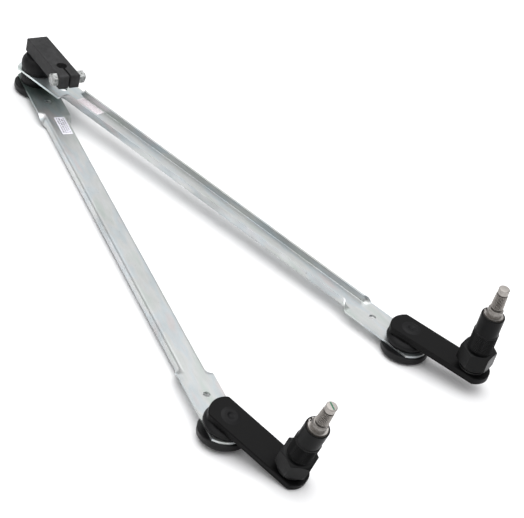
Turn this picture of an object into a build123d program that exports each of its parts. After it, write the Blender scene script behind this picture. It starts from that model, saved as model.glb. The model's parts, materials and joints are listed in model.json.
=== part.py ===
from build123d import *
from math import cos, radians, sin, sqrt
import os

# Windshield wiper linkage: a clamp-on motor crank drives two channel links through a double ball
# stud, and each link drives a pivot arm whose shaft turns in a hexagonal housing.
# Millimetres and degrees. +Z up. The origin is on the motor shaft's axis, at the crank's underside.

# ---- Motor crank ---------------------------------------------------------------------------
crank_throw = 56.0            # ball stud axis to motor shaft axis
crank_heading = -15.5         # direction from the stud towards the motor shaft, from +X
crank_tail = 13.2             # metal behind the stud axis
crank_nose = 24.5             # metal beyond the motor shaft axis
crank_width = 26.5
crank_thick = 17.0
crank_chamfer = 0.8
motor_bore_radius = 6.35
slit_width = 2.6
pinch_offset = 14.8           # motor shaft axis to pinch bolt axis
pinch_hole_radius = 5.0
pinch_bolt_radius = 4.76
pinch_head_across = 14.3
pinch_head_height = 6.0
pinch_nut_height = 8.3
pinch_bolt_stub = 2.0         # thread showing beyond the nut

# ---- Ball joints ---------------------------------------------------------------------------
ball_radius = 6.5
ball_clearance = 0.1
neck_radius = 4.2
bush_radius = 13.0
bush_gap = 0.05               # between a bush and the hole or cup that holds it
bush_rim = 5.0                # bush top above the ball's centre
bush_mouth = 7.0              # mouth radius that lets the neck lean 20 degrees
bush_grip = 3.2               # height above the ball's centre to which the bush grips it
bush_floor = 7.6              # bush bottom below the ball's centre
cup_radius = 26.0
cup_depth = 9.6               # cup bottom below the ball's centre
cup_corner = 4.0
shank_radius = 6.0
shoulder_radius = 9.0
shoulder_height = 3.5
head_radius = 10.4            # foot of the shallow riveted head
head_crown_radius = 7.0
head_height = 0.8
dimple_radius = 4.2
dimple_depth = 1.0

# ---- Stack at the crank --------------------------------------------------------------------
upper_ball_drop = 23.7        # crank underside down to the upper ball's centre
ball_spacing = 14.9           # upper to lower ball
crank_boot_top_gap = 0.8
crank_boot_base_radius = 19.5
crank_boot_bulge_radius = 21.0
crank_boot_top_radius = 17.0
middle_boot_radius = 19.8
boot_inner_radius = 13.6

# ---- Links: zinc-plated channel pressings --------------------------------------------------
sheet = 2.5
sheet_top = 2.6               # link's top face above the ball's centre
link_flat_width = 36.8
link_end_radius = 24.4
channel_width = 26.0
channel_depth = 10.0
channel_bend = 3.0            # outer bend radius
channel_ramp = 14.0           # length over which a flange rises
tool_hole_radius = 3.9
tool_hole_offset = 48.7       # from each ball joint
label_thick = 0.15
label_length = 37.0
label_width = 12.4

left_link_length = 650.0
left_link_heading = -24.0
left_link_shoulders = (80.0, 96.0)      # flat length at the crank end, at the arm end
right_link_length = 604.0
right_link_shoulders = (58.0, 80.0)
shoulder_runs = (14.0, 22.0)            # length of the waisting curve at each end
right_outer_ball_height = -38.05        # ball's centre, from the crank's underside

# ---- Outer boots ---------------------------------------------------------------------------
boot_base_radius = 20.0
boot_bulge_radius = 23.2
boot_neck_radius = 18.5
boot_gap = 0.2

# ---- Pivot arms ----------------------------------------------------------------------------
arm_centres = 75.5            # ball joint to pivot shaft
arm_width = 33.4
arm_thick = 7.5
arm_top = 22.0                # arm's top face above the ball's centre
arm_ball_end_radius = 22.7
arm_shaft_end_radius = 20.1
arm_edge = 0.8
# Each pivot unit's attitude as it lies: heading, droop and roll.
pivot_attitude = {"left": (12.19, 16.35, 6.8), "right": (10.59, 4.98, 0.99)}

# ---- Pivot shaft and housing, heights above the arm's top face ------------------------------
shaft_radius = 8.0
shaft_stake = 1.2             # upset end below the arm
collar_height = 80.0
undercut_height = 81.8
undercut_radius = 5.4
knurl_height = 98.6
knurl_foot_radius = 6.8
knurl_tip_radius = 6.1
tip_groove_height = 100.2
tip_groove_radius = 5.0
tip_height = 106.6
tip_radius = 5.8
tip_round = 0.9

hex_across = 34.0
hex_low = 6.9
hex_high = 26.4
hex_chamfer = 1.6
boss_radius = 14.5
boss_low = 4.4
thread_radius = 13.5
thread_high = 49.0
barrel_radius = 12.6
barrel_high = 71.1
rim_radius = 11.3
rim_depth = 1.7
hex_turn = {"left": 39.3, "right": 29.2}      # direction of one corner

bearing_bore = 9.6            # radius of the bushes' seats
bearing_inner = 8.04
relief_radius = 9.0
lower_bush_high = 26.0
upper_bush_low = 48.0
upper_bush_high = 66.0
flange_thick = 2.0
flange_radius = 13.0
washer_thick = 2.0
washer_radius = 14.0
seal_radius = 10.4
seal_height = 2.6
top_washer_radius = 11.0
top_washer_thick = 1.2
clip_thick = 1.2
clip_groove_radius = 7.5
clip_outer_radius = 10.2
clip_lug_radius = 2.0
clip_lug_reach = 9.0
clip_gap = 3.4
clip_heading = 170.0
running_gap = 0.15

os.makedirs("parts", exist_ok=True)


def save(piece, name):
    piece.part.label = name
    export_step(piece.part, f"parts/{name}.step")


def side_plane(plane):
    # The plane through the given plane's axis: its x is radius or length, its y is height.
    return Plane(origin=plane.origin, x_dir=plane.x_dir, z_dir=-plane.y_dir)


def axis_of(plane):
    return Axis(plane.origin, plane.z_dir)


# ---- Planes of the assembly ----------------------------------------------------------------
heading_vector = Vector(cos(radians(crank_heading)), sin(radians(crank_heading)), 0)
stud_axis_point = heading_vector * -crank_throw
crank_plane = Plane(origin=stud_axis_point, x_dir=heading_vector, z_dir=(0, 0, 1))
upper_ball = stud_axis_point - Vector(0, 0, upper_ball_drop)
lower_ball = upper_ball - Vector(0, 0, ball_spacing)

# The right link runs along +X and slopes down, so that its outer cup rests with the others.
right_fall = upper_ball.Z - right_outer_ball_height
right_run = sqrt(right_link_length**2 - right_fall**2)
right_direction = Vector(right_run, 0, -right_fall)
right_link_plane = Plane(origin=upper_ball, x_dir=right_direction, z_dir=(right_fall, 0, right_run))
left_direction = Vector(cos(radians(left_link_heading)), sin(radians(left_link_heading)), 0)
left_link_plane = Plane(origin=lower_ball, x_dir=left_direction, z_dir=(0, 0, 1))

link_plane = {"left": left_link_plane, "right": right_link_plane}
link_length = {"left": left_link_length, "right": right_link_length}
link_shoulders = {"left": left_link_shoulders, "right": right_link_shoulders}
# The left link's flanges point down and the right link's point up.
flange_side = {"left": -1, "right": 1}


def outer_joint_plane(side):
    plane = link_plane[side]
    return Plane(
        origin=plane.origin + plane.x_dir * link_length[side],
        x_dir=plane.x_dir,
        z_dir=plane.z_dir,
    )


def pivot_plane(side):
    # The pivot unit's own plane, through its ball's centre, with x towards the shaft.
    heading, droop, roll = pivot_attitude[side]
    turn = Rotation(0, 0, heading) * Rotation(0, droop, 0) * Rotation(roll, 0, 0)
    return Plane(Location(outer_joint_plane(side).origin) * turn)


def shaft_plane(side):
    # On the shaft's axis, at the arm's top face.
    plane = pivot_plane(side)
    return Plane(
        origin=plane.origin + plane.x_dir * arm_centres + plane.z_dir * arm_top,
        x_dir=plane.x_dir,
        z_dir=plane.z_dir,
    )


# ---- Motor crank ---------------------------------------------------------------------------
def make_crank_arm():
    length = crank_tail + crank_throw + crank_nose
    centre = (crank_throw + crank_nose - crank_tail) / 2
    pinch = crank_throw + pinch_offset
    across = Plane(
        origin=crank_plane.from_local_coords(Vector(pinch, 0, crank_thick / 2)),
        x_dir=crank_plane.x_dir,
        z_dir=crank_plane.y_dir,
    )
    with BuildPart() as crank:
        with BuildSketch(crank_plane):
            with Locations((centre, 0)):
                Rectangle(length, crank_width)
        extrude(amount=crank_thick)
        chamfer(crank.edges(), crank_chamfer)
        with BuildSketch(crank_plane):
            Circle(shank_radius)
            with Locations((crank_throw, 0)):
                Circle(motor_bore_radius)
            with Locations((crank_throw + crank_nose / 2, 0)):
                Rectangle(crank_nose, slit_width)
        extrude(amount=crank_thick, mode=Mode.SUBTRACT)
        with BuildSketch(across):
            Circle(pinch_hole_radius)
        extrude(amount=crank_width, both=True, mode=Mode.SUBTRACT)
    save(crank, "crank_arm")


def make_crank_ball_stud():
    # One stud with two balls, riveted over on top of the crank.
    neck_joint = sqrt(ball_radius**2 - neck_radius**2)
    high = -upper_ball_drop
    low = high - ball_spacing
    top = crank_thick + head_height
    with BuildPart() as stud:
        with BuildSketch(side_plane(crank_plane)):
            with BuildLine():
                Line((0, low - ball_radius), (0, top - dimple_depth))
                Line((0, top - dimple_depth), (dimple_radius / 2, top - dimple_depth))
                Line((dimple_radius / 2, top - dimple_depth), (dimple_radius, top))
                Line((dimple_radius, top), (head_crown_radius, top))
                Line((head_crown_radius, top), (head_radius, crank_thick))
                Line((head_radius, crank_thick), (shank_radius, crank_thick))
                Line((shank_radius, crank_thick), (shank_radius, 0))
                Line((shank_radius, 0), (shoulder_radius, 0))
                Line((shoulder_radius, 0), (shoulder_radius, -shoulder_height))
                Line((shoulder_radius, -shoulder_height), (neck_radius, -2 * shoulder_height))
                Line((neck_radius, -2 * shoulder_height), (neck_radius, high + neck_joint))
                ThreePointArc(
                    (neck_radius, high + neck_joint),
                    (ball_radius, high),
                    (neck_radius, high - neck_joint),
                )
                Line((neck_radius, high - neck_joint), (neck_radius, low + neck_joint))
                ThreePointArc(
                    (neck_radius, low + neck_joint), (ball_radius, low), (0, low - ball_radius)
                )
            make_face()
        revolve(axis=axis_of(crank_plane))
    save(stud, "crank_ball_stud")


def pinch_plane():
    # On the pinch bolt's axis, at the crank's left-hand side, pointing out of it.
    return Plane(
        origin=crank_plane.from_local_coords(
            Vector(crank_throw + pinch_offset, -crank_width / 2, crank_thick / 2)
        ),
        x_dir=(0, 0, 1),
        z_dir=-crank_plane.y_dir,
    )


def make_pinch_bolt():
    plane = pinch_plane()
    shank = crank_width + pinch_nut_height + pinch_bolt_stub
    with BuildPart() as bolt:
        with BuildSketch(plane):
            RegularPolygon(pinch_head_across / 2, 6, major_radius=False)
        extrude(amount=pinch_head_height)
        with BuildSketch(side_plane(plane)):
            Polygon(
                [
                    (0, 0),
                    (0, pinch_head_height),
                    (pinch_head_across / 2 - 0.4, pinch_head_height),
                    (pinch_head_across * 0.6, pinch_head_height - 1.2),
                    (pinch_head_across * 0.6, 0),
                ],
                align=None,
            )
        revolve(axis=axis_of(plane), mode=Mode.INTERSECT)
        with BuildSketch(plane):
            Circle(pinch_bolt_radius)
        extrude(amount=-shank)
    save(bolt, "pinch_bolt")


def make_pinch_nut():
    plane = pinch_plane().offset(-crank_width)
    with BuildPart() as nut:
        with BuildSketch(plane):
            RegularPolygon(pinch_head_across / 2, 6, major_radius=False)
            Circle(pinch_bolt_radius + bush_gap, mode=Mode.SUBTRACT)
        extrude(amount=-pinch_nut_height)
        with BuildSketch(side_plane(plane)):
            Polygon(
                [
                    (0, 0),
                    (pinch_head_across * 0.6, 0),
                    (pinch_head_across * 0.6, 1 - pinch_nut_height),
                    (pinch_head_across / 2 - 0.4, -pinch_nut_height),
                    (0, -pinch_nut_height),
                ],
                align=None,
            )
        revolve(axis=axis_of(plane), mode=Mode.INTERSECT)
    save(nut, "pinch_nut")


# ---- Links ---------------------------------------------------------------------------------
def link_blank_edge(length, shoulders):
    # Half the blank's outline, from one end's centre line to the other's.
    half = link_flat_width / 2
    waist = channel_width / 2 - channel_bend
    corner = sqrt(link_end_radius**2 - half**2)
    bulge = link_end_radius * cos(radians(25))
    rise = link_end_radius * sin(radians(25))
    near = shoulders[0] + shoulder_runs[0]
    far = length - shoulders[1] - shoulder_runs[1]
    near_mid = (shoulders[0] + near) / 2
    far_mid = (far + length - shoulders[1]) / 2
    ThreePointArc((-link_end_radius, 0), (-bulge, rise), (-corner, half))
    Line((-corner, half), (shoulders[0], half))
    Bezier((shoulders[0], half), (near_mid, half), (near_mid, waist), (near, waist))
    Line((near, waist), (far, waist))
    Bezier(
        (far, waist),
        (far_mid, waist),
        (far_mid, half),
        (length - shoulders[1], half),
    )
    Line((length - shoulders[1], half), (length + corner, half))
    ThreePointArc(
        (length + corner, half), (length + bulge, rise), (length + link_end_radius, 0)
    )


def make_link(side):
    plane = link_plane[side]
    length = link_length[side]
    shoulders = link_shoulders[side]
    up = flange_side[side]
    floor = sheet_top - sheet if up > 0 else sheet_top      # the sheet's outer face
    inner = sheet_top if up > 0 else sheet_top - sheet
    crest = floor + up * channel_depth
    start = shoulders[0] + 0.3 * shoulder_runs[0]
    stop = length - shoulders[1] - 0.3 * shoulder_runs[1]
    section = Plane(
        origin=plane.from_local_coords(Vector(start, 0, floor)),
        x_dir=plane.y_dir,
        z_dir=plane.x_dir,
    )
    with BuildPart() as link:
        with BuildSketch(plane.offset(sheet_top - sheet)):
            with BuildLine():
                link_blank_edge(length, shoulders)
                mirror(about=Plane.XZ)
            make_face()
        extrude(amount=sheet)
        with BuildSketch(section) as profile:
            with Locations((0, up * channel_depth / 2)):
                Rectangle(channel_width, channel_depth)
            bent = profile.vertices().sort_by(Axis.Y, reverse=up < 0)[:2]
            fillet(bent, channel_bend)
            with Locations((0, up * (sheet + channel_depth) / 2)):
                Rectangle(channel_width - 2 * sheet, channel_depth - sheet, mode=Mode.SUBTRACT)
        extrude(amount=stop - start)
        # The flanges rise from the flat in a curve at each end.
        with BuildSketch(side_plane(plane)):
            for foot, run in ((start, channel_ramp), (stop, -channel_ramp)):
                with BuildLine():
                    Bezier(
                        (foot, inner),
                        (foot + run / 2, inner),
                        (foot + run / 2, crest + up * sheet),
                        (foot + run, crest + up * sheet),
                    )
                    Line((foot + run, crest + up * sheet), (foot, crest + up * sheet))
                    Line((foot, crest + up * sheet), (foot, inner))
                make_face()
        extrude(amount=channel_width, both=True, mode=Mode.SUBTRACT)
        with BuildSketch(plane.offset(sheet_top - sheet)):
            with Locations((0, 0), (length, 0)):
                Circle(bush_radius + bush_gap)
            with Locations((tool_hole_offset, 0), (length - tool_hole_offset, 0)):
                Circle(tool_hole_radius)
        extrude(amount=sheet, mode=Mode.SUBTRACT)
    save(link, f"{side}_link")


def make_link_label(side):
    # A paper label on the channel's floor, near the crank end.
    plane = link_plane[side]
    start = link_shoulders[side][0] + (5.0 if side == "left" else 16.0)
    with BuildPart() as label:
        with BuildSketch(plane.offset(sheet_top)):
            with Locations((start + label_length / 2, label_width / 4)):
                Rectangle(label_length, label_width)
        extrude(amount=label_thick)
    save(label, f"{side}_link_label")


# ---- Bushes, cups and boots ----------------------------------------------------------------
def bush_bore(radius, grip, mouth, rim):
    # Quarter outline of a spherical bore: from its equator up to the mouth.
    grip_radius = sqrt(radius**2 - grip**2)
    turn = radius * cos(radians(14))
    ThreePointArc((radius, 0), (turn, radius * sin(radians(14))), (grip_radius, grip))
    Line((grip_radius, grip), (mouth, rim))


def make_closed_bush(plane, name):
    # A moulded socket that snaps over a ball, with a closed floor.
    bore = ball_radius + ball_clearance
    turn = bore * cos(radians(45))
    with BuildPart() as bush:
        with BuildSketch(side_plane(plane)):
            with BuildLine():
                bush_bore(bore, bush_grip, bush_mouth, bush_rim)
                Line((bush_mouth, bush_rim), (bush_radius, bush_rim))
                Line((bush_radius, bush_rim), (bush_radius, -bush_floor))
                Line((bush_radius, -bush_floor), (0, -bush_floor))
                Line((0, -bush_floor), (0, -bore))
                ThreePointArc((0, -bore), (turn, -turn), (bore, 0))
            make_face()
        revolve(axis=axis_of(plane))
    save(bush, name)


def make_open_bush(plane, name):
    # The upper bush at the crank: open at both ends, because the stud goes on to the lower ball.
    bore = ball_radius + ball_clearance
    with BuildPart() as bush:
        with BuildSketch(side_plane(plane)):
            with BuildLine():
                bush_bore(bore, bush_grip, bush_mouth, bush_rim)
                mirror(about=Plane.XZ)
                Line((bush_mouth, bush_rim), (bush_radius, bush_rim))
                Line((bush_radius, bush_rim), (bush_radius, -bush_rim))
                Line((bush_radius, -bush_rim), (bush_mouth, -bush_rim))
            make_face()
        revolve(axis=axis_of(plane))
    save(bush, name)


def make_cup(plane, name):
    # The pressed cup under a link that carries the bush.
    top = sheet_top - sheet
    inner = bush_radius + bush_gap
    with BuildPart() as cup:
        with BuildSketch(side_plane(plane)):
            with BuildLine():
                Line((inner, top), (cup_radius - 1, top))
                Line((cup_radius - 1, top), (cup_radius, top - 1))
                Line((cup_radius, top - 1), (cup_radius, -cup_depth + cup_corner))
                RadiusArc(
                    (cup_radius, -cup_depth + cup_corner),
                    (cup_radius - cup_corner, -cup_depth),
                    cup_corner,
                )
                Line((cup_radius - cup_corner, -cup_depth), (0, -cup_depth))
                Line((0, -cup_depth), (0, -bush_floor))
                Line((0, -bush_floor), (inner, -bush_floor))
                Line((inner, -bush_floor), (inner, top))
            make_face()
        revolve(axis=axis_of(plane))
    save(cup, name)


def make_crank_boots():
    low = sheet_top + boot_gap
    high = upper_ball_drop - crank_boot_top_gap
    middle = (low + high) / 2
    with BuildPart() as upper:
        with BuildSketch(side_plane(right_link_plane)):
            with BuildLine():
                Line((boot_inner_radius, low), (crank_boot_base_radius, low))
                Spline(
                    (crank_boot_base_radius, low),
                    (crank_boot_bulge_radius, middle + 2),
                    (crank_boot_top_radius, high),
                )
                Line((crank_boot_top_radius, high), (crank_boot_top_radius - 5, high))
                Line((crank_boot_top_radius - 5, high), (boot_inner_radius, low + 6))
                Line((boot_inner_radius, low + 6), (boot_inner_radius, low))
            make_face()
        revolve(axis=axis_of(right_link_plane))
    save(upper, "crank_upper_boot")

    lid = ball_spacing + sheet_top - sheet - 3 * boot_gap
    waist = middle_boot_radius - 1
    with BuildPart() as lower:
        with BuildSketch(side_plane(left_link_plane)):
            with BuildLine():
                Line((boot_inner_radius, low), (waist, low))
                ThreePointArc((waist, low), (middle_boot_radius, (low + lid) / 2), (waist, lid))
                Line((waist, lid), (boot_inner_radius, lid))
                Line((boot_inner_radius, lid), (boot_inner_radius, low))
            make_face()
        revolve(axis=axis_of(left_link_plane))
    save(lower, "crank_middle_boot")


def make_outer_boot(side):
    # A rubber boot that stands on the link and is cut off square to the leaning arm.
    plane = outer_joint_plane(side)
    arm_underside = pivot_plane(side).offset(arm_top - arm_thick - boot_gap)
    low = sheet_top + boot_gap
    with BuildPart() as boot:
        with BuildSketch(side_plane(plane)):
            with BuildLine():
                Line((boot_inner_radius, low), (boot_base_radius, low))
                Spline(
                    (boot_base_radius, low),
                    (boot_bulge_radius, arm_top / 2),
                    (boot_neck_radius, arm_top + 1),
                )
                Line((boot_neck_radius, arm_top + 1), (boot_inner_radius, arm_top + 1))
                Line((boot_inner_radius, arm_top + 1), (boot_inner_radius, low))
            make_face()
        revolve(axis=axis_of(plane))
        split(bisect_by=arm_underside, keep=Keep.BOTTOM)
    save(boot, f"{side}_boot")


# ---- Pivot units ---------------------------------------------------------------------------
def make_pivot_arm(side):
    plane = pivot_plane(side)
    half = arm_width / 2
    ball_corner = sqrt(arm_ball_end_radius**2 - half**2)
    shaft_corner = sqrt(arm_shaft_end_radius**2 - half**2)
    with BuildPart() as arm:
        with BuildSketch(plane.offset(arm_top - arm_thick)):
            with BuildLine():
                ThreePointArc(
                    (-ball_corner, half), (-arm_ball_end_radius, 0), (-ball_corner, -half)
                )
                Line((-ball_corner, -half), (arm_centres + shaft_corner, -half))
                ThreePointArc(
                    (arm_centres + shaft_corner, -half),
                    (arm_centres + arm_shaft_end_radius, 0),
                    (arm_centres + shaft_corner, half),
                )
                Line((arm_centres + shaft_corner, half), (-ball_corner, half))
            make_face()
        extrude(amount=arm_thick)
        chamfer(arm.edges(), arm_edge)
        with BuildSketch(plane.offset(arm_top - arm_thick)):
            Circle(shank_radius)
            with Locations((arm_centres, 0)):
                Circle(shaft_radius)
        extrude(amount=arm_thick, mode=Mode.SUBTRACT)
    save(arm, f"{side}_pivot_arm")


def make_ball_stud(side):
    plane = pivot_plane(side)
    neck_joint = sqrt(ball_radius**2 - neck_radius**2)
    underside = arm_top - arm_thick
    top = arm_top + head_height
    with BuildPart() as stud:
        with BuildSketch(side_plane(plane)):
            with BuildLine():
                Line((0, -ball_radius), (0, top - dimple_depth))
                Line((0, top - dimple_depth), (dimple_radius / 2, top - dimple_depth))
                Line((dimple_radius / 2, top - dimple_depth), (dimple_radius, top))
                Line((dimple_radius, top), (head_crown_radius, top))
                Line((head_crown_radius, top), (head_radius, arm_top))
                Line((head_radius, arm_top), (shank_radius, arm_top))
                Line((shank_radius, arm_top), (shank_radius, underside))
                Line((shank_radius, underside), (shoulder_radius, underside))
                Line((shoulder_radius, underside), (shoulder_radius, underside - 1))
                Line((shoulder_radius, underside - 1), (neck_radius, underside - shoulder_height))
                Line((neck_radius, underside - shoulder_height), (neck_radius, neck_joint))
                ThreePointArc((neck_radius, neck_joint), (ball_radius, 0), (0, -ball_radius))
            make_face()
        revolve(axis=axis_of(plane))
    save(stud, f"{side}_ball_stud")


def make_pivot_shaft(side):
    plane = shaft_plane(side)
    clip_low = clip_height()
    clip_high = clip_low + clip_thick + running_gap
    with BuildPart() as shaft:
        with BuildSketch(side_plane(plane)):
            Polygon(
                [
                    (0, -arm_thick - shaft_stake),
                    (shaft_radius - 1, -arm_thick - shaft_stake),
                    (shaft_radius, -arm_thick),
                    (shaft_radius, clip_low - running_gap),
                    (clip_groove_radius, clip_low - running_gap),
                    (clip_groove_radius, clip_high),
                    (shaft_radius, clip_high),
                    (shaft_radius, collar_height - 0.6),
                    (shaft_radius - 0.6, collar_height),
                    (undercut_radius, collar_height),
                    (undercut_radius, undercut_height),
                    (knurl_foot_radius, undercut_height),
                    (knurl_tip_radius, knurl_height),
                    (tip_groove_radius, knurl_height),
                    (tip_groove_radius, tip_groove_height),
                    (tip_radius, tip_groove_height),
                    (tip_radius, tip_height - tip_round),
                    (tip_radius - tip_round, tip_height),
                    (0, tip_height),
                ],
                align=None,
            )
        revolve(axis=axis_of(plane))
    save(shaft, f"{side}_pivot_shaft")


def clip_height():
    return barrel_high - rim_depth + top_washer_thick + 2 * running_gap


def make_housing(side):
    # Hexagon, threaded length and smooth barrel in one turned body, bored for two bushes.
    plane = shaft_plane(side)
    corner = hex_across / 2 / cos(radians(30))
    seal_floor = barrel_high - rim_depth - seal_height - running_gap
    with BuildPart() as housing:
        with BuildSketch(plane.offset(hex_low)):
            RegularPolygon(hex_across / 2, 6, major_radius=False, rotation=hex_turn[side])
        extrude(amount=hex_high - hex_low)
        with BuildSketch(side_plane(plane)):
            Polygon(
                [
                    (0, hex_low),
                    (corner, hex_low),
                    (corner, hex_high - hex_chamfer),
                    (corner - 2 * hex_chamfer, hex_high),
                    (0, hex_high),
                ],
                align=None,
            )
        revolve(axis=axis_of(plane), mode=Mode.INTERSECT)
        with BuildSketch(side_plane(plane)):
            Polygon(
                [
                    (0, boss_low),
                    (boss_radius, boss_low),
                    (boss_radius, hex_low),
                    (thread_radius, hex_high),
                    (thread_radius, thread_high - 1),
                    (barrel_radius, thread_high),
                    (barrel_radius, barrel_high - 0.5),
                    (barrel_radius - 0.5, barrel_high),
                    (0, barrel_high),
                ],
                align=None,
            )
        revolve(axis=axis_of(plane))
        with BuildSketch(side_plane(plane)):
            Polygon(
                [
                    (0, 0),
                    (bearing_bore, 0),
                    (bearing_bore, lower_bush_high),
                    (relief_radius, lower_bush_high),
                    (relief_radius, upper_bush_low),
                    (bearing_bore, upper_bush_low),
                    (bearing_bore, seal_floor),
                    (seal_radius + bush_gap, seal_floor),
                    (seal_radius + bush_gap, barrel_high - rim_depth),
                    (rim_radius, barrel_high - rim_depth),
                    (rim_radius, barrel_high),
                    (0, barrel_high),
                ],
                align=None,
            )
        revolve(axis=axis_of(plane), mode=Mode.SUBTRACT)
    save(housing, f"{side}_pivot_housing")


def make_lower_bush(side):
    # Flanged bush: its flange takes the end load on the thrust washer.
    plane = shaft_plane(side)
    outer = bearing_bore - bush_gap
    with BuildPart() as bush:
        with BuildSketch(side_plane(plane)):
            Polygon(
                [
                    (bearing_inner, boss_low - flange_thick),
                    (flange_radius, boss_low - flange_thick),
                    (flange_radius, boss_low),
                    (outer, boss_low),
                    (outer, lower_bush_high),
                    (bearing_inner, lower_bush_high),
                ],
                align=None,
            )
        revolve(axis=axis_of(plane))
    save(bush, f"{side}_lower_bush")


def make_upper_bush(side):
    plane = shaft_plane(side)
    with BuildPart() as bush:
        with BuildSketch(plane.offset(upper_bush_low)):
            Circle(bearing_bore - bush_gap)
            Circle(bearing_inner, mode=Mode.SUBTRACT)
        extrude(amount=upper_bush_high - upper_bush_low)
    save(bush, f"{side}_upper_bush")


def make_shaft_seal(side):
    plane = shaft_plane(side).offset(barrel_high - rim_depth - seal_height)
    with BuildPart() as seal:
        with BuildSketch(plane):
            Circle(seal_radius)
            Circle(bearing_inner, mode=Mode.SUBTRACT)
        extrude(amount=seal_height - running_gap)
    save(seal, f"{side}_shaft_seal")


def make_thrust_washer(side):
    with BuildPart() as washer:
        with BuildSketch(shaft_plane(side).offset(running_gap)):
            Circle(washer_radius)
            Circle(shaft_radius + bush_gap, mode=Mode.SUBTRACT)
        extrude(amount=washer_thick)
    save(washer, f"{side}_thrust_washer")


def make_top_washer(side):
    with BuildPart() as washer:
        with BuildSketch(shaft_plane(side).offset(barrel_high - rim_depth + running_gap)):
            Circle(top_washer_radius)
            Circle(bearing_inner, mode=Mode.SUBTRACT)
        extrude(amount=top_washer_thick)
    save(washer, f"{side}_top_washer")


def make_circlip(side):
    with BuildPart() as clip:
        with BuildSketch(shaft_plane(side).offset(clip_height())):
            Circle(clip_outer_radius)
            with PolarLocations(clip_lug_reach, 2, start_angle=clip_heading - 14, angular_range=56):
                Circle(clip_lug_radius)
            Circle(clip_groove_radius + bush_gap, mode=Mode.SUBTRACT)
            with PolarLocations(clip_outer_radius, 1, start_angle=clip_heading):
                Rectangle(clip_outer_radius, clip_gap - 1.2, mode=Mode.SUBTRACT)
            with PolarLocations(clip_lug_reach, 2, start_angle=clip_heading - 14, angular_range=56):
                Circle(0.9, mode=Mode.SUBTRACT)
        extrude(amount=clip_thick)
    save(clip, f"{side}_circlip")


make_crank_arm()
make_crank_ball_stud()
make_pinch_bolt()
make_pinch_nut()
make_crank_boots()
make_open_bush(right_link_plane, "crank_upper_bush")
make_closed_bush(left_link_plane, "crank_lower_bush")
make_cup(left_link_plane, "crank_lower_cup")
for side in ("left", "right"):
    make_link(side)
    make_link_label(side)
    make_closed_bush(outer_joint_plane(side), f"{side}_outer_bush")
    make_cup(outer_joint_plane(side), f"{side}_outer_cup")
    make_outer_boot(side)
    make_pivot_arm(side)
    make_ball_stud(side)
    make_pivot_shaft(side)
    make_housing(side)
    make_lower_bush(side)
    make_upper_bush(side)
    make_shaft_seal(side)
    make_thrust_washer(side)
    make_top_washer(side)
    make_circlip(side)
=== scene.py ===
# %% [markdown]
# # A windshield wiper linkage in Blender
# A motor crank pushes and pulls two zinc-plated links. Each link moves a black pivot arm, and the
# arm turns a knurled shaft inside a hexagonal housing. The finishes come first, then the shapes that
# use them, then light and camera.
#
# The measured model is loaded as a fixed frame. Pieces whose surface it can't hold, such as folded
# sheet, thread and knurl, are modelled again here in the same place and then ride on its bodies.

# %% Load the measured frame
import json
from math import cos, pi, radians, sin, sqrt

import bmesh
import bpy
from mathutils import Matrix, Vector


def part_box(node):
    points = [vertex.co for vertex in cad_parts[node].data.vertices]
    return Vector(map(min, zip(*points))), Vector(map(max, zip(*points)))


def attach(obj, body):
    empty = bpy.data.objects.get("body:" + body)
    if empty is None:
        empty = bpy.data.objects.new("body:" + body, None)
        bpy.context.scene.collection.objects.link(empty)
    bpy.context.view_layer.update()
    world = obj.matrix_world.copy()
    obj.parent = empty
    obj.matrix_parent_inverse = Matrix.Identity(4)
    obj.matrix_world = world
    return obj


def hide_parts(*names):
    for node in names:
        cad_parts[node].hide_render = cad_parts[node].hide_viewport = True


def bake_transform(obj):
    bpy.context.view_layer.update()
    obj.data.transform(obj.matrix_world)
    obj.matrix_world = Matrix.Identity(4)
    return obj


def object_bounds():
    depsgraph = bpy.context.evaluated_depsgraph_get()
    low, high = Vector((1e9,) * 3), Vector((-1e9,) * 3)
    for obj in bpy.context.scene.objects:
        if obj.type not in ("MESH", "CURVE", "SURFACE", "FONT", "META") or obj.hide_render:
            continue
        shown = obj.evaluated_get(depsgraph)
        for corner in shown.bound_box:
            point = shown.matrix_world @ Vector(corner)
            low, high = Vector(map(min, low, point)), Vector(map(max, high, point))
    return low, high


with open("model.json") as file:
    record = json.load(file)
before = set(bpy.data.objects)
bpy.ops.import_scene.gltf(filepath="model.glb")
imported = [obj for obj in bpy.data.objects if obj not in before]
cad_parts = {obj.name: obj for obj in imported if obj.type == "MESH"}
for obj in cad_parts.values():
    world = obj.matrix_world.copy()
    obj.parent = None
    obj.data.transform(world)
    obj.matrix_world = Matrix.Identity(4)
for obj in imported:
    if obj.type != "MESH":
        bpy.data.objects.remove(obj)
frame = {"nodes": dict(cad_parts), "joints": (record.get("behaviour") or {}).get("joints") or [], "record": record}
cad_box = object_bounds()
MM = 0.001
SIDES = ("left", "right")
joint = {j["name"]: j for j in frame["joints"]}

# %% [markdown]
# ## Local frames
# A link is easiest to draw along its own length, and a housing about its own shaft. So each unit
# gets a small coordinate frame, read from the linkage's joints. A piece is then drawn in
# millimetres near zero and placed by one matrix. Its Object coordinates stay local too, which lets
# a finish follow the direction in which the metal was rolled or turned.


# %% Frames from the joints
def placed(origin, x, y, z):
    matrix = Matrix((x, y, z)).transposed().to_4x4()
    matrix.translation = origin
    return matrix


def link_frame(start, end):
    x = (end - start).normalized()
    up = Vector((0, 0, 1))
    z = (up - x * up.dot(x)).normalized()
    return placed(start, x, z.cross(x), z)


def pivot_frame(ball, stud, foot):
    z = Vector(stud).normalized()
    x = foot - ball
    x = (x - z * x.dot(z)).normalized()
    return placed(ball, x, z.cross(x), z)


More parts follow.
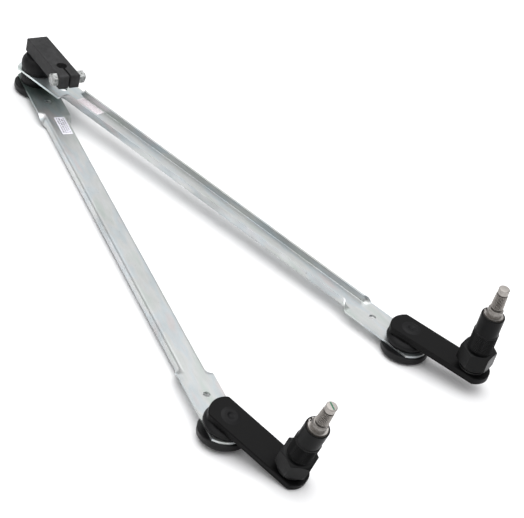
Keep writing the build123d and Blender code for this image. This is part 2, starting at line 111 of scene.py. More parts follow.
upper_ball = Vector(joint["crank_turn"]["pos_m"])
lower_ball = Vector(joint["link_spread"]["pos_m"])
inner_ball = {"left": lower_ball, "right": upper_ball}
outer_ball = {side: Vector(joint[f"{side}_tilt"]["pos_m"]) for side in SIDES}
shaft_foot = {side: Vector(joint[f"{side}_housing_turn"]["pos_m"]) for side in SIDES}
link_at = {side: link_frame(inner_ball[side], outer_ball[side]) for side in SIDES}
pivot_at = {
    side: pivot_frame(outer_ball[side], joint[f"{side}_swing"]["axis"], shaft_foot[side])
    for side in SIDES
}
link_length = {side: (outer_ball[side] - inner_ball[side]).length / MM for side in SIDES}
shaft_at = {}
for side in SIDES:
    shaft_at[side] = pivot_at[side].copy()
    shaft_at[side].translation = shaft_foot[side]
print("link lengths", {side: round(link_length[side], 1) for side in SIDES})

# %% [markdown]
# ## A shader written as sums
# Mixing noise, masks and colours takes many nodes. Wrapped in a class, a socket can be used in an
# ordinary expression, and each operator adds its own Math node. One method makes every other node.


# %% Sockets that can be added and multiplied
class Wire:
    def __init__(self, finish, socket):
        self.finish, self.socket = finish, socket

    def maths(self, operation, first, second):
        return self.finish.make("ShaderNodeMath", {"operation": operation}, {0: first, 1: second})

    def __add__(self, other):
        return self.maths("ADD", self, other)

    def __sub__(self, other):
        return self.maths("SUBTRACT", self, other)

    def __rsub__(self, other):
        return self.maths("SUBTRACT", other, self)

    def __mul__(self, other):
        return self.maths("MULTIPLY", self, other)

    def __gt__(self, other):
        return self.maths("GREATER_THAN", self, other)

    def __lt__(self, other):
        return self.maths("LESS_THAN", self, other)

    __radd__, __rmul__ = __add__, __mul__


class Graph:
    """A node tree, with one method that makes its nodes."""

    def __init__(self, tree):
        self.tree, self.nodes = tree, tree.nodes

    def make(self, kind, settings=None, inputs=None, output=0):
        node = self.nodes.new(kind)
        settings = dict(settings or {})
        stops = settings.pop("stops", None)
        for name, value in settings.items():
            setattr(node, name, value)
        if stops:
            ramp = node.color_ramp
            while len(ramp.elements) < len(stops):
                ramp.elements.new(0.5)
            for element, (place, colour) in zip(ramp.elements, stops):
                element.position, element.color = place, colour
        for name, value in (inputs or {}).items():
            if isinstance(value, Wire):
                self.tree.links.new(value.socket, node.inputs[name])
            else:
                node.inputs[name].default_value = value
        return Wire(self, node.outputs[output])


class Finish(Graph):
    """A material with a Principled shader, and the mixtures that its surfaces need."""

    def __init__(self, name, **constants):
        self.material = bpy.data.materials.new(name)
        self.material.use_nodes = True
        super().__init__(self.material.node_tree)
        self.shader = self.nodes["Principled BSDF"]
        for socket, value in constants.items():
            self.shader.inputs[socket.replace("_", " ")].default_value = value

    def drive(self, socket, wire):
        self.tree.links.new(wire.socket, self.shader.inputs[socket])

    def place(self, scale=(1, 1, 1)):
        """Object coordinates in millimetres, stretched by a factor along each axis."""
        here = self.make("ShaderNodeTexCoord", output="Object")
        factors = tuple(1000 * k for k in scale)
        return self.make(
            "ShaderNodeVectorMath", {"operation": "MULTIPLY"}, {0: here, 1: factors}
        )

    def noise(self, scale, detail=3.0, rough=0.5, stretch=(1, 1, 1)):
        return self.make(
            "ShaderNodeTexNoise",
            inputs={
                "Vector": self.place(stretch),
                "Scale": scale,
                "Detail": detail,
                "Roughness": rough,
            },
        )

    def ramp(self, factor, *stops):
        listed = [(place, (*colour, 1)) for place, colour in stops]
        return self.make("ShaderNodeValToRGB", {"stops": listed}, {0: factor})

    def spread(self, factor, low, high, to_low=0.0, to_high=1.0):
        values = dict(enumerate((factor, low, high, to_low, to_high)))
        return self.make("ShaderNodeMapRange", inputs=values)

    def mix(self, factor, first, second, blend="MIX"):
        return self.make(
            "ShaderNodeMix",
            {"data_type": "RGBA", "blend_type": blend},
            {0: factor, 6: first, 7: second},
            output=2,
        )

    def bump(self, height, strength, distance):
        values = {"Height": height, "Strength": strength, "Distance": distance}
        self.drive("Normal", self.make("ShaderNodeBump", inputs=values))


print("shader helpers ready")

# %% [markdown]
# ## Zinc plate
# Fresh zinc plate is bright and a little cloudy. Its thin passivation film tints it pale blue,
# green and pink in patches, the rolling leaves faint lines along the sheet, and handling leaves
# specks and rubbed spots. The patches are large noise through a colour ramp. The lines are noise
# stretched along the link. Near the crank each link's colour carries painted light: a painted
# reflection of the black joints darkens the left link, and painted light makes the right link a
# little paler there.


# %% The sheet of the links
def zinc_sheet_finish(name, crank_painted_light):
    finish = Finish(name, Metallic=0.82)
    clouds = finish.noise(0.035, 4, 0.55, (0.45, 1, 1))
    tint = finish.ramp(
        finish.noise(0.05, 2, 0.5, (0.35, 1.3, 1)),
        (0.30, (0.54, 0.585, 0.56)),
        (0.46, (0.62, 0.63, 0.625)),
        (0.56, (0.565, 0.615, 0.635)),
        (0.70, (0.63, 0.605, 0.605)),
    )
    shade = finish.ramp(clouds, (0.32, (0.74, 0.74, 0.73)), (0.60, (0.98, 0.98, 0.98)))
    lines = finish.noise(1.6, 3, 0.6, (0.03, 1, 1))
    grain = finish.ramp(lines, (0.38, (0.93, 0.93, 0.93)), (0.58, (1, 1, 1)))
    specks = finish.noise(0.35, 2, 0.4) > 0.745
    body = finish.mix(0.85, tint, shade, "MULTIPLY")
    body = finish.mix(0.6, body, grain, "MULTIPLY")
    body = finish.mix(specks * 0.4, body, (0.26, 0.26, 0.25, 1))
    # Painted light near the crank: a darker painted reflection on the left link, a paler painted brightening on
    # the right.
    along = finish.make("ShaderNodeSeparateXYZ", inputs={0: finish.place()}, output="X")
    away = finish.spread(along + clouds * 30, 45, 105)
    near = finish.ramp(away, (0.0, crank_painted_light), (1.0, (1, 1, 1)))
    finish.drive("Base Color", finish.mix(1.0, body, near, "MULTIPLY"))
    finish.drive("Roughness", finish.spread(clouds, 0.3, 0.7, 0.46, 0.30) + specks * 0.2)
    finish.bump(lines * 0.3 + finish.noise(0.10, 3), 0.18, 0.0003)
    return finish.material


# The last colour given to each link is its painted light near the crank, not a stain.
zinc_sheet = {
    "left": zinc_sheet_finish("zinc_sheet_left", (0.26, 0.31, 0.29)),
    "right": zinc_sheet_finish("zinc_sheet_right", (1.15, 1.2, 1.2)),
}
print("made", [m.name for m in zinc_sheet.values()])

# %% [markdown]
# The pinch bolt and its nut were plated in a barrel with many others, so they are mottled: bright
# faces with dark bruises where they knocked together.


# %% Barrel-plated fasteners
def fastener_finish():
    finish = Finish("zinc_fastener", Metallic=0.75)
    bruises = finish.noise(0.42, 4, 0.7)
    finish.drive(
        "Base Color",
        finish.ramp(
            bruises,
            (0.36, (0.09, 0.09, 0.086)),
            (0.46, (0.26, 0.265, 0.26)),
            (0.60, (0.42, 0.43, 0.425)),
        ),
    )
    finish.drive("Roughness", finish.spread(bruises, 0.35, 0.6, 0.6, 0.36))
    finish.bump(finish.noise(0.9, 3), 0.35, 0.0004)
    return finish.material


zinc_fastener = fastener_finish()
print("made", zinc_fastener.name)

# %% [markdown]
# ## Black coatings
# Five blacks lie side by side. The crank's coat is rough, so it looks dark grey. The arms, cups and
# riveted studs are smoother and darker. The housings are the darkest, with fine turning lines. One
# recipe makes them all from a colour, a roughness, a grain size and a gloss.


# %% Coated forgings
def coat_finish(name, colour, rough, grain, gloss, turned=False):
    finish = Finish(name, Metallic=0.0, Specular_IOR_Level=gloss)
    patches = finish.noise(0.09, 4, 0.6)
    tooth = finish.noise(grain, 4, 0.65, (0.05, 0.05, 1) if turned else (1, 1, 1))
    dark = tuple(0.62 * c for c in colour)
    light = tuple(1.45 * c for c in colour)
    tone = finish.ramp(patches, (0.30, dark), (0.52, colour), (0.75, light))
    dust = finish.noise(0.75, 2, 0.5) > 0.74
    rubbed = tuple(3 * c + 0.004 for c in colour)
    finish.drive("Base Color", finish.mix(dust * 0.5, tone, (*rubbed, 1)))
    finish.drive("Roughness", finish.spread(patches, 0.3, 0.7, rough - 0.07, rough + 0.09))
    finish.bump(tooth, 0.35, 0.0003)
    return finish.material


crank_black = coat_finish("forged_black", (0.034, 0.034, 0.0347), 0.60, 0.9, 0.12)
arm_black = coat_finish("arm_black", (0.0030, 0.0030, 0.0031), 0.46, 0.8, 0.10)
housing_black = coat_finish("housing_black", (0.0022, 0.0024, 0.0025), 0.34, 1.6, 0.14, True)
cup_black = coat_finish("cup_black", (0.0035, 0.0035, 0.0038), 0.40, 0.6, 0.22)
stud_black = coat_finish("stud_black", (0.0035, 0.0035, 0.004), 0.38, 0.5, 0.13)
blacks = (crank_black, arm_black, housing_black, cup_black, stud_black)
print("made", [m.name for m in blacks])

# %% [markdown]
# The boots are moulded rubber: black and dull, with a fine bloom on the surface.


# %% Rubber
def rubber_finish():
    finish = Finish("boot_rubber", Specular_IOR_Level=0.18)
    bloom = finish.noise(0.16, 5, 0.6)
    finish.drive(
        "Base Color",
        finish.ramp(bloom, (0.30, (0.003, 0.003, 0.0033)), (0.72, (0.009, 0.009, 0.0095))),
    )
    finish.drive("Roughness", finish.spread(bloom, 0.3, 0.7, 0.44, 0.62))
    finish.bump(finish.noise(2.2, 3), 0.2, 0.0002)
    return finish.material


boot_rubber = rubber_finish()
print("made", boot_rubber.name)

# %% [markdown]
# ## Bare shaft steel
# The shaft is ground on its collar and only rolled on the knurl, where oil and dirt stay in the
# grooves. Height along the shaft separates the two. The left shaft carries a dab of green
# inspection paint across its tip.


# %% Shaft steel, with an optional paint dab
COLLAR_TOP = 80.0
KNURL_FOOT = 82.0
KNURL_FOOT_RADIUS = 6.8
KNURL_TAPER = 0.0417
GROOVE_TOP = 100.3
TIP_FACE = 105.6


def shaft_finish(name, dabbed):
    finish = Finish(name, Metallic=0.9)
    stain = finish.noise(0.30, 4, 0.6)
    steel = finish.ramp(
        stain, (0.32, (0.19, 0.175, 0.16)), (0.50, (0.24, 0.226, 0.212)), (0.70, (0.29, 0.278, 0.264))
    )
    here = finish.place()
    parts = finish.make("ShaderNodeSeparateXYZ", inputs={0: here}).socket.node
    height = Wire(finish, parts.outputs["Z"])
    flat = finish.make("ShaderNodeVectorMath", {"operation": "MULTIPLY"}, {0: here, 1: (1, 1, 0)})
    reach = finish.make(
        "ShaderNodeVectorMath", {"operation": "LENGTH"}, {0: flat}, output="Value"
    )
    knurled = finish.spread(height, COLLAR_TOP - 0.2, COLLAR_TOP + 0.6)
    crest = KNURL_FOOT_RADIUS - (height - KNURL_FOOT) * KNURL_TAPER
    dirt = finish.spread(crest - reach, 0.15, 0.7) * knurled * (height < GROOVE_TOP)
    steel = finish.mix(knurled * 0.8, steel, (0.42, 0.395, 0.37, 1))
    steel = finish.mix(dirt * 0.8, steel, (0.05, 0.044, 0.038, 1))
    if dabbed:
        along, across = Wire(finish, parts.outputs["X"]), Wire(finish, parts.outputs["Y"])
        stripe = along * 0.45 + across * 0.89
        edge = finish.noise(0.6, 3) * 1.2
        band = (stripe + edge > -0.2) * (stripe + edge < 1.4)
        mask = band * (height > TIP_FACE) * (reach < 4.4)
        steel = finish.mix(mask, steel, (0.004, 0.12, 0.055, 1))
        finish.drive("Metallic", 0.9 - mask * 0.9)
    finish.drive("Base Color", steel)
    finish.drive("Roughness", finish.spread(stain, 0.3, 0.7, 0.42, 0.30) + knurled * 0.12)
    finish.bump(finish.noise(1.4, 3, 0.6, (0.2, 0.2, 1)), 0.25, 0.0002)
    return finish.material


shaft_steel = {
    "left": shaft_finish("shaft_steel_dabbed", True),
    "right": shaft_finish("shaft_steel", False),
}
print("made", [m.name for m in shaft_steel.values()])

# %% [markdown]
# The last finishes are for small pieces that show little more than an edge: washers, clips and two
# moulded plastics. Each is one cloudy colour with a matching change of roughness.


# %% Washer and clip steel, nylon and bush plastic
def plain_finish(name, colour, metal, rough, scale):
    finish = Finish(name, Metallic=metal)
    cloud = finish.noise(scale, 4, 0.6)
    dark = tuple(0.7 * c for c in colour)
    finish.drive("Base Color", finish.ramp(cloud, (0.3, dark), (0.65, colour)))
    finish.drive("Roughness", finish.spread(cloud, 0.3, 0.7, rough + 0.1, rough - 0.05))
    finish.bump(finish.noise(4 * scale, 3), 0.2, 0.0002)
    return finish.material


washer_steel = plain_finish("washer_steel", (0.085, 0.078, 0.072), 0.9, 0.40, 0.5)
clip_steel = plain_finish("clip_steel", (0.42, 0.40, 0.38), 0.9, 0.34, 0.5)
bearing_nylon = plain_finish("bearing_nylon", (0.012, 0.012, 0.012), 0.0, 0.5, 0.3)
bush_plastic = plain_finish("bush_plastic", (0.62, 0.60, 0.54), 0.0, 0.5, 0.3)
print("made", [m.name for m in (washer_steel, clip_steel, bearing_nylon, bush_plastic)])

# %% [markdown]
# ## Printed labels
# Each link has a small film label. Its print is replaced by plain bars. Each row is 2.8 mm high and
# takes its own line through a noise, which says where it is inked, and a margin stays blank. The
# label is drawn in the link's own frame, so u runs along the link.


# %% Label film with plain bars
LABEL_START = {"left": 85, "right": 74}
LABEL_LENGTH = 37.0
LABEL_EDGES = (-3.1, 9.3)
MARGIN_ALONG, MARGIN_ACROSS = 2.2, 1.5
ROWS_PER_MM, ROW_PITCH = 0.36, 2.78
ROW_GAP = 1.1
INKED_ABOVE = 0.45


def label_finish(name, side, film, ink, strength):
    finish = Finish(name, Roughness=0.45)
    here = finish.make("ShaderNodeTexCoord", output="Object")
    matrix = link_at[side]
    lines = []
    for axis in (matrix.col[0].xyz, matrix.col[1].xyz):
        offset = matrix.translation.dot(axis)
        dot = finish.make(
            "ShaderNodeVectorMath",
            {"operation": "DOT_PRODUCT"},
            {0: here, 1: tuple(axis)},
            output="Value",
        )
        lines.append((dot - offset) * 1000)
    u, v = lines
    start = LABEL_START[side]
    count = finish.make("ShaderNodeMath", {"operation": "FLOOR"}, {0: v * ROWS_PER_MM})
    in_row = (v - count * ROW_PITCH) > ROW_GAP
    cell = finish.make("ShaderNodeCombineXYZ", inputs={0: u * 0.5, 1: count * 3.7})
    dashes = finish.make(
        "ShaderNodeTexNoise", inputs={"Vector": cell, "Scale": 1.0, "Detail": 0.0}
    )
    low, high = LABEL_EDGES
    along = (u > start + MARGIN_ALONG) * (u < start + LABEL_LENGTH - MARGIN_ALONG)
    across = (v > low + MARGIN_ACROSS) * (v < high - MARGIN_ACROSS)
    inked = in_row * (dashes > INKED_ABOVE) * along * across
    paper = finish.ramp(
        finish.noise(0.4, 3), (0.3, tuple(0.93 * c for c in film)), (0.7, film)
    )
    finish.drive("Base Color", finish.mix(inked * strength, paper, (*ink, 1)))
    return finish.material


label_film = {
    "left": label_finish("label_film_left", "left", (0.80, 0.79, 0.86), (0.03, 0.03, 0.04), 0.9),
    "right": label_finish(
        "label_film_right", "right", (0.74, 0.70, 0.72), (0.35, 0.25, 0.28), 0.45
    ),
}
print("made", [m.name for m in label_film.values()])

# %% [markdown]
# ## Meshes in millimetres
# Every new piece is a list of points and faces in its own frame. This helper makes the object,
# puts it in place and ties it to its body. Folds sharper than a limit, 32 degrees unless another is
# given, are marked so that they stay crisp under smooth shading.


# %% Make an object from points and faces
def piece(name, shape, matrix, material, body, stands_for, sharp=32):
    points, faces = shape
    mesh = bpy.data.meshes.new(name)
    mesh.from_pydata([Vector(p) * MM for p in points], [], faces)
    work = bmesh.new()
    work.from_mesh(mesh)
    bmesh.ops.recalc_face_normals(work, faces=work.faces)
    for face in work.faces:
        face.smooth = True
    for edge in work.edges:
        if len(edge.link_faces) == 2:
            edge.smooth = edge.calc_face_angle(0) < radians(sharp)
    work.to_mesh(mesh)
    work.free()
    mesh.materials.append(material)
    made = bpy.data.objects.new(name, mesh)
    bpy.context.scene.collection.objects.link(made)
    made.matrix_world = matrix
    if body:
        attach(made, body)
    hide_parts(stands_for)
    return made


slot_of = {s["node"]: s["material_slot"] for s in frame["record"]["subparts"]}
print("finishes in the record:", sorted(set(slot_of.values())))

# %% [markdown]
# ## The links
# A link is one strip of 2.5 mm sheet. At its ends it is flat, with a round tip about each ball
# joint. In between, both edges are folded by 90 degrees into a channel. A solid drawn with
# booleans would show a hard step at the shoulder, where the real press rolls the edge over
# gradually. So the strip is drawn as cross-sections along its length, and each section has its own
# fold angle, which runs from 0 to 90 degrees over the shoulder.
#
# The left link is folded downwards and the right link upwards, so the same section is used twice,
# mirrored in height.

# %% One folded cross-section
SHEET = 2.5
SHEET_TOP = 2.6
FLAT_HALF = 18.4
FLOOR_HALF = 10.0
BEND = 3.0
TIP_RADIUS = 24.4
BUSH_HOLE = 13.05
TOOL_HOLE = 3.9


def folded_half(angle, half):
    """Points and inward normals of the outer skin, from the middle to the edge."""
    lip = FLAT_HALF - FLOOR_HALF - (FLAT_HALF - FLOOR_HALF - 7.0) * angle / (pi / 2)
    skin = [(FLOOR_HALF * k / 5, 0.0, 0.0) for k in range(6)]
    for k in range(1, 9):
        a = angle * k / 8
        skin.append((FLOOR_HALF + BEND * sin(a) + 0.02 * k, BEND * (1 - cos(a)), a))
    corner = skin[-1]
    for k in range(1, 6):
        t = lip * k / 5
        skin.append((corner[0] + t * cos(angle), corner[1] + t * sin(angle), angle))
    squeeze = half / FLAT_HALF
    return [(y * squeeze, h, -sin(a), cos(a)) for y, h, a in skin]


def smooth_step(t):
    t = max(0.0, min(1.0, t))
    return t * t * (3 - 2 * t)


print("section points:", len(folded_half(pi / 2, FLAT_HALF)))


# %% [markdown]
# The two edges don't start to fold at the same place: on the real link one edge rolls over a few
# millimetres before the other. Each side therefore has its own pair of shoulders.


# %% Sweep the section along a link
def folded_strip(length, shoulders, up):
    """shoulders: for the near and the far edge, (flat until, folded from, folded to, flat from)."""
    stations = [-TIP_RADIUS + 0.02, -24.2, -23.8, -23, -22, -20.5, -18.5, -16.03, -12]
    stations += [4 * k for k in range(-2, 12)]
    stations += [k for k in range(48, 104)]
    stations += [104 + (length - 104 - 116) * k / 40 for k in range(41)]
    stations += [length - 116 + k for k in range(1, 76)]
    stations += [length - 40 + 4 * k for k in range(1, 13)]
    stations += [length + d for d in (12, 16.03, 18.5, 20.5, 22, 23, 23.8, 24.2, 24.38)]
    points, rings = [], []
    for s in stations:
        past = max(-s, s - length, 0)
        half = min(FLAT_HALF, sqrt(max(TIP_RADIUS**2 - past**2, 0.01)))
        skins = []
        for edge in (0, 1):
            flat, fold, unfold, level = shoulders[edge]
            rise = smooth_step((s - flat) / (fold - flat))
            fall = smooth_step((level - s) / (level - unfold))
            skins.append(folded_half(pi / 2 * min(rise, fall), half))
        near, far = skins
        outer = [(-y, h, -ny, nh) for y, h, ny, nh in reversed(near)] + far[1:]
        ring = []
        for depth, row in ((0.0, outer), (SHEET, reversed(outer))):
            for y, h, ny, nh in row:
                height = h + depth * nh
                height = SHEET_TOP - SHEET + height if up else SHEET_TOP - height
                ring.append(len(points))
                points.append((s, y + depth * ny, height))
        rings.append(ring)
    count = len(rings[0])
    faces = [tuple(rings[0]), tuple(reversed(rings[-1]))]
    for low, high in zip(rings, rings[1:]):
        for k in range(count):
            n = (k + 1) % count
            faces.append((low[k], low[n], high[n], high[k]))
    return points, faces


def drill(target, matrix, holes):
    """Cuts round holes through the sheet, each given by its place along the link and its radius."""
    for place, radius in holes:
        points, faces = turned([(-20, 0), (-20, radius), (20, radius), (20, 0)], 96)
        mesh = bpy.data.meshes.new("drill")
        mesh.from_pydata([Vector((x + place, y, z)) * MM for x, y, z in points], [], faces)
        cutter = bpy.data.objects.new("drill", mesh)
        bpy.context.scene.collection.objects.link(cutter)
        cutter.matrix_world = matrix
        cut = target.modifiers.new("drill", "BOOLEAN")
        cut.operation, cut.object, cut.solver = "DIFFERENCE", cutter, "EXACT"
        settle(target)
        bpy.data.objects.remove(cutter)


def settle(target):
    """Applies the modifiers, so that the mesh itself has their shape."""
    bpy.context.view_layer.update()
    ready = target.evaluated_get(bpy.context.evaluated_depsgraph_get())
    mesh = bpy.data.meshes.new_from_object(ready)
    target.modifiers.clear()
    target.data = mesh


# %% [markdown]
# Housings, shafts and the crank's two boots are turned shapes: a list of heights and radii spun
# about an axis. A radius may also be a function of the angle, and then the same lathe cuts a hexagon, a
# screw thread or a knurl. Rounding the corners of the outline first gives each edge its highlight.


# %% A lathe
def turned(rows, steps=192, loop=False, start=0.0):
    points, rings = [], []
    for height, radius in rows:
        if not callable(radius) and radius == 0:
            rings.append([len(points)])
            points.append((0, 0, height))
            continue
        ring = []
        for k in range(steps):
            angle = start + 2 * pi * k / steps
            r = radius(angle) if callable(radius) else radius
            ring.append(len(points))
            points.append((r * cos(angle), r * sin(angle), height))
        rings.append(ring)
    following = rings[1:] + rings[:1] if loop else rings[1:]
    faces = []
    for low, high in zip(rings, following):
        for k in range(steps):
            n = (k + 1) % steps
            corners = (low[k % len(low)], low[n % len(low)], high[n % len(high)], high[k % len(high)])
            faces.append(tuple(dict.fromkeys(corners)))
    return points, faces


def soften(outline, radius, steps=3):
    """Rounds the inner corners of an open outline of (height, radius) points."""
    result = [outline[0]]
    for before, here, after in zip(outline, outline[1:], outline[2:]):
        here = Vector(here)
        back, ahead = Vector(before) - here, Vector(after) - here
        reach = min(radius, back.length * 0.45, ahead.length * 0.45)
        a, b = here + back.normalized() * reach, here + ahead.normalized() * reach
        for k in range(steps + 1):
            t = k / steps
            result.append(tuple((1 - t) ** 2 * a + 2 * t * (1 - t) * here + t * t * b))
    return result + [outline[-1]]


print("lathe ready")

# %% [markdown]
# Both links use the same sweep. The shoulders are places along the link in millimetres, and the
# ball and tooling holes are cut last, so that they stay round.

# %% Both links
TOOL_HOLE_OFFSET = 48.7
SHOULDERS = {
    "left": ((70.6, 93, 549, 567.7), (80, 95, 552, 573)),
    "right": ((58, 72, 521, 534), (64, 73, 529, 538)),
}
for side in SIDES:
    length = link_length[side]
    link = piece(
        f"{side}_link_pressing",
        folded_strip(length, SHOULDERS[side], side == "right"),
        link_at[side],
        zinc_sheet[side],
        None,
        f"{side}_link",
    )
    tooling = (TOOL_HOLE_OFFSET, length - TOOL_HOLE_OFFSET)
    holes = [(0, BUSH_HOLE), (length, BUSH_HOLE)] + [(place, TOOL_HOLE) for place in tooling]
    drill(link, link_at[side], holes)
    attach(link, f"{side}_link_body")
    print(link.name, len(link.data.vertices), "points")

# %% [markdown]
# ## Pivot housings
# A housing is turned from hexagon bar. Its hexagon keeps the bar's flats, and a cone cut on the
# lathe breaks the corners, which gives the curved edges seen on every nut. Above it come a screw
# thread, a smooth barrel and a rim with a recess for a washer and a circlip.

# %% Hexagon and thread as radii of the angle
HEX_CORNER = {"left": 39.3, "right": 29.2}
HEX_APOTHEM = 17.0


def hexagon(corner, cone):
    def radius(angle):
        turn = (angle - corner) % (pi / 3) - pi / 6
        return min(HEX_APOTHEM / cos(turn), cone)

    return radius


def thread(height, pitch=1.75, crest=13.5, depth=0.75):
    ends = smooth_step((height - 27.2) / 1.5) * smooth_step((48.6 - height) / 1.5)

    def radius(angle):
        phase = (height / pitch - angle / (2 * pi)) % 1
        return crest - depth * ends * min(1, 2.6 * abs(phase - 0.5))

    return radius


def housing_shape(side):
    corner = radians(HEX_CORNER[side])
    rows = [(4.4, 10.2), (4.4, 14.2), (4.7, 14.5), (6.9, 14.5)]
    for height, cone in ((6.9, 16.7), (7.1, 17.4), (7.6, 18.6), (8.3, 20), (16, 20), (24.0, 20)):
        rows.append((height, hexagon(corner, cone)))
    for k in range(9):
        rows.append((24.3 + 2.1 * k / 8, hexagon(corner, 19.9 - 3.5 * k / 8)))
    rows.append((26.4, 14.6))
    rows.append((26.7, 13.3))
    rows += [(27.2 + 0.25 * k, thread(27.2 + 0.25 * k)) for k in range(86)]
    rim = [(48.9, 13.3), (49.2, 12.6), (70.6, 12.6), (71.1, 12.1), (71.1, 11.7), (70.8, 11.3)]
    rim += [(69.4, 11.3), (69.4, 10.5), (66.6, 10.45), (66.6, 9.6), (4.4, 9.6)]
    return turned(rows + soften(rim, 0.25, 2), 216, loop=True, start=corner)


for side in SIDES:
    housing = piece(
        f"{side}_housing_turned",
        housing_shape(side),
        shaft_at[side],
        housing_black,
        f"{side}_housing_body",
        f"{side}_pivot_housing",
    )
    print(housing.name, len(housing.data.vertices), "points")

# %% [markdown]
# ## Pivot shafts
# The driver at the top of each shaft is a slightly tapered knurl with straight teeth. The wiper
# arm's soft metal is pressed on it. A texture would look painted on, because the teeth show in the
# outline, so they are real ridges.

# %% Shaft with a knurl
TEETH = 28


def knurl(crest, depth):
    def radius(angle):
        phase = (angle * TEETH / (2 * pi)) % 1
        return crest - depth * min(1, 2.4 * abs(phase - 0.5))

    return radius


def shaft_shape():
    lower = [(-8.7, 0), (-8.7, 7.0), (-7.5, 8.0), (70.6, 8.0), (70.6, 7.5), (72.1, 7.5)]
    lower += [(72.1, 8.0), (79.3, 8.0), (80.0, 7.3), (80.0, 5.4), (81.8, 5.4)]
    rows = soften(lower, 0.25, 2)
    for height, crest, depth in (
        (81.9, 6.1, 0.0),
        (82.4, 6.75, 0.5),
        (83.2, 6.76, 0.8),
        (90.0, 6.46, 0.8),
        (97.8, 6.12, 0.8),
        (98.3, 6.08, 0.5),
        (98.6, 5.7, 0.0),
    ):
        rows.append((height, knurl(crest, depth)))
    tip = [(98.7, 5.1), (99.9, 5.0), (100.2, 5.7), (105.7, 5.8), (106.6, 4.8), (106.6, 0)]
    return turned(rows + soften(tip, 0.3, 3), TEETH * 10)


for side in SIDES:
    shaft = piece(
        f"{side}_shaft_knurled",
        shaft_shape(),
        shaft_at[side],
        shaft_steel[side],
        f"{side}_arm_body",
        f"{side}_pivot_shaft",
        sharp=24,
    )
    print(shaft.name, len(shaft.data.vertices), "points")

# %% [markdown]
# ## Boots
# A boot keeps grease in a ball joint. The outer ones are squeezed between the level link and the
# leaning arm. Drawing each ring on a direction that turns from the link's normal to the stud's
# keeps the base flat on one and the top flat on the other.

# %% Outer boots, bent between link and arm
BOOT = [(0.00, 19.6), (0.03, 20.1), (0.10, 20.1), (0.14, 19.7), (0.24, 21.2), (0.40, 22.8)]
BOOT += [(0.55, 23.2), (0.70, 22.7), (0.84, 21.2), (0.93, 19.6), (0.97, 18.9), (1.0, 18.2)]
BOOT += [(1.0, 14.5), (0.9, 14.2), (0.5, 18.0), (0.1, 14.2), (0.0, 13.8)]


def bent_boot(side, steps=128):
    base = link_at[side].col[2].xyz
    lean = pivot_at[side].col[2].xyz
    points, rings = [], []
    for share, radius in BOOT:
        normal = base.lerp(lean, share).normalized()
        x = (Vector((1, 0, 0)) - normal * normal.x).normalized()
        y = normal.cross(x)
        middle = outer_ball[side] / MM + normal * (2.8 + 11.45 * share)
        ring = []
        for k in range(steps):
            angle = 2 * pi * k / steps
            ring.append(len(points))
            points.append(middle + (x * cos(angle) + y * sin(angle)) * radius)
        rings.append(ring)
    faces = []
    for low, high in zip(rings, rings[1:] + rings[:1]):
        for k in range(steps):
            n = (k + 1) % steps
            faces.append((low[k], low[n], high[n], high[k]))
    return points, faces


for side in SIDES:
    boot = piece(
        f"{side}_boot_moulded",
        bent_boot(side),
        Matrix.Identity(4),
        boot_rubber,
        None,
        f"{side}_boot",
    )
    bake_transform(boot)
    print(boot.name, len(boot.data.vertices), "points")

# %% [markdown]
# At the crank one boot sits between the crank and the right link, and another between the two
# links. They only turn, so a plain lathe shape is enough.

# %% Boots at the crank
UPPER = [(2.8, 13.8), (2.8, 19.2), (3.2, 19.7), (4.6, 19.7), (5.2, 19.3), (9.0, 20.6)]
UPPER += [(13.0, 21.0), (17.0, 20.2), (20.4, 18.2), (21.6, 17.0), (22.2, 16.9), (22.8, 16.4)]
UPPER += [(22.8, 12.2), (9.0, 13.8)]
MIDDLE = [(2.8, 13.8), (2.8, 18.6), (3.2, 19.0), (5.0, 19.5), (8.6, 19.8), (12.2, 19.5)]
MIDDLE += [(13.8, 19.0), (14.3, 18.5), (14.3, 13.8), (9.0, 13.8)]
for name, rows, side, node in (
    ("crank_upper_boot_moulded", UPPER, "right", "crank_upper_boot"),
    ("crank_middle_boot_moulded", MIDDLE, "left", "crank_middle_boot"),
):
    boot = piece(
        name,
        turned(rows, 128, loop=True),
        link_at[side],
        boot_rubber,
        f"{side}_link_body",
        node,
    )
    print(boot.name, len(boot.data.vertices), "points")

# %% [markdown]
# ## Finishes on the measured pieces
# The other pieces already have the right shape: blocks, plates, cups, washers, clips and the
# fasteners. They only need their finish, which goes in their material slot.

# %% Give every remaining node its finish
by_slot = {
    "zinc_sheet": zinc_sheet["left"],
    "zinc_fastener": zinc_fastener,
    "black_coat": arm_black,
    "black_housing": housing_black,
    "bright_steel": washer_steel,
    "bearing_nylon": bearing_nylon,
    "bush_plastic": bush_plastic,
    "black_rubber": boot_rubber,
}
by_node = {"crank_arm": crank_black, "crank_ball_stud": crank_black, "crank_lower_cup": cup_black}
for side in SIDES:
    by_node[f"{side}_outer_cup"] = cup_black
    by_node[f"{side}_circlip"] = clip_steel
    by_node[f"{side}_ball_stud"] = stud_black
    by_node[f"{side}_link_label"] = label_film[side]
for name, node in frame["nodes"].items():
    node.data.materials.clear()
    node.data.materials.append(by_node.get(name) or by_slot[slot_of[name]])
print("finished", len(frame["nodes"]), "nodes")

# %% [markdown]
# ## Floor, light and camera
# The linkage lies on a white sweep under soft light from all round. Bare metal shows whatever is
# around it, so the surroundings matter more than the one lamp here: bright above and greyer
# near the horizon.
#
# The left arm droops below the cups, so the loose linkage lies propped on it. The floor is tilted to
# pass 0.3 mm under the edge of the crank's cup and under the left arm's end. The right outer cup is
# then about half a millimetre clear of it.

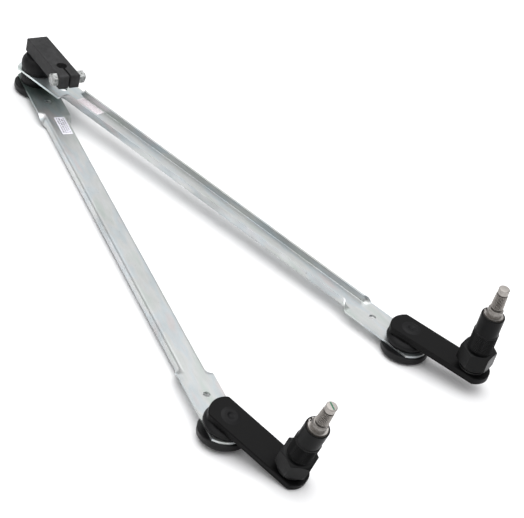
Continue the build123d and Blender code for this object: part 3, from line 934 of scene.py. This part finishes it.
# %% A white floor
CUP_FLAT_RADIUS = 0.022
FLOOR_GAP = 0.0003
FLOOR_HALF_SIDE = 6
arm_low = min((v.co for v in frame["nodes"]["left_pivot_arm"].data.vertices), key=lambda c: c.z)
cup_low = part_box("crank_lower_cup")[0].z
slope = (cup_low - arm_low.z) / (upper_ball.y + CUP_FLAT_RADIUS - arm_low.y)
level = arm_low.z - slope * arm_low.y - FLOOR_GAP
half = FLOOR_HALF_SIDE
flat_corners = ((-half, -half), (half, -half), (half, half), (-half, half))
corners = [(x, y, level + slope * y) for x, y in flat_corners]
floor = bpy.data.meshes.new("floor")
floor.from_pydata(corners, [], [(0, 1, 2, 3)])
sweep = Finish("floor_white", Roughness=0.9, Specular_IOR_Level=0.0)
sweep.drive(
    "Base Color",
    sweep.ramp(sweep.noise(0.002, 2), (0.3, (0.89, 0.89, 0.89)), (0.7, (0.91, 0.91, 0.91))),
)
floor.materials.append(sweep.material)
floor = bpy.data.objects.new("floor", floor)
bpy.context.scene.collection.objects.link(floor)
for name in ("crank_lower_cup", "right_outer_cup", "left_pivot_arm"):
    points = [v.co for v in frame["nodes"][name].data.vertices]
    gap = min(p.z - level - slope * p.y for p in points) / MM
    print(name, "clears the floor by", round(gap, 2), "mm")

# %% [markdown]
# The surroundings are a dome whose grey depends on height alone: dark at the horizon and below it,
# and brightest towards the zenith.

# %% Surroundings
world = bpy.data.worlds.new("studio")
bpy.context.scene.world = world
world.use_nodes = True
dome = Graph(world.node_tree)
direction = dome.make("ShaderNodeTexCoord", output="Generated")
height = dome.make("ShaderNodeSeparateXYZ", inputs={0: direction}, output="Z")
greys = ((0.0, 0.10), (0.32, 0.17), (0.48, 0.31), (0.66, 0.38), (0.90, 1.0))
stops = [(place, (grey, grey, grey * 1.01, 1)) for place, grey in greys]
shade = dome.make("ShaderNodeValToRGB", {"stops": stops}, {0: height})
background = dome.nodes["Background"]
dome.tree.links.new(shade.socket, background.inputs["Color"])
background.inputs["Strength"].default_value = 2.4
bpy.context.scene.view_settings.view_transform = "Standard"
print("surroundings set")

# %% [markdown]
# One large, weak panel hangs nearly two metres above the linkage and lights what faces up.

# %% One soft panel
centre = (cad_box[0] + cad_box[1]) / 2
away = Vector((-0.5, 0.3, 1.9))
lamp = bpy.data.lights.new("overhead", "AREA")
lamp.shape, lamp.size, lamp.size_y, lamp.energy = "RECTANGLE", 1.6, 1.2, 6
panel = bpy.data.objects.new("overhead", lamp)
bpy.context.scene.collection.objects.link(panel)
panel.location = centre + away
panel.rotation_euler = (-away).to_track_quat("-Z", "Y").to_euler()
print("one panel over", tuple(round(c, 3) for c in centre))

# %% [markdown]
# The camera stands 2 m away and looks down at about 34 degrees through a long lens, so the two links
# keep nearly the same width from end to end. It also leans a little to one side.

# %% Camera
CAMERA_TURN = (55.6585, -10.7032, 44.2339)
camera = bpy.data.cameras.new("camera")
camera.lens, camera.sensor_width, camera.sensor_fit = 130.9, 36.0, "HORIZONTAL"
camera.clip_start, camera.clip_end = 0.1, 50
eye = bpy.data.objects.new("camera", camera)
bpy.context.scene.collection.objects.link(eye)
eye.location = (1.4048, -1.3975, 1.1199)
eye.rotation_euler = [radians(angle) for angle in CAMERA_TURN]
bpy.context.scene.camera = eye
print("camera", round((eye.location - centre).length, 2), "m away")

# %% [markdown]
# ## Last update

# %% Update the view layer
bpy.context.view_layer.update()
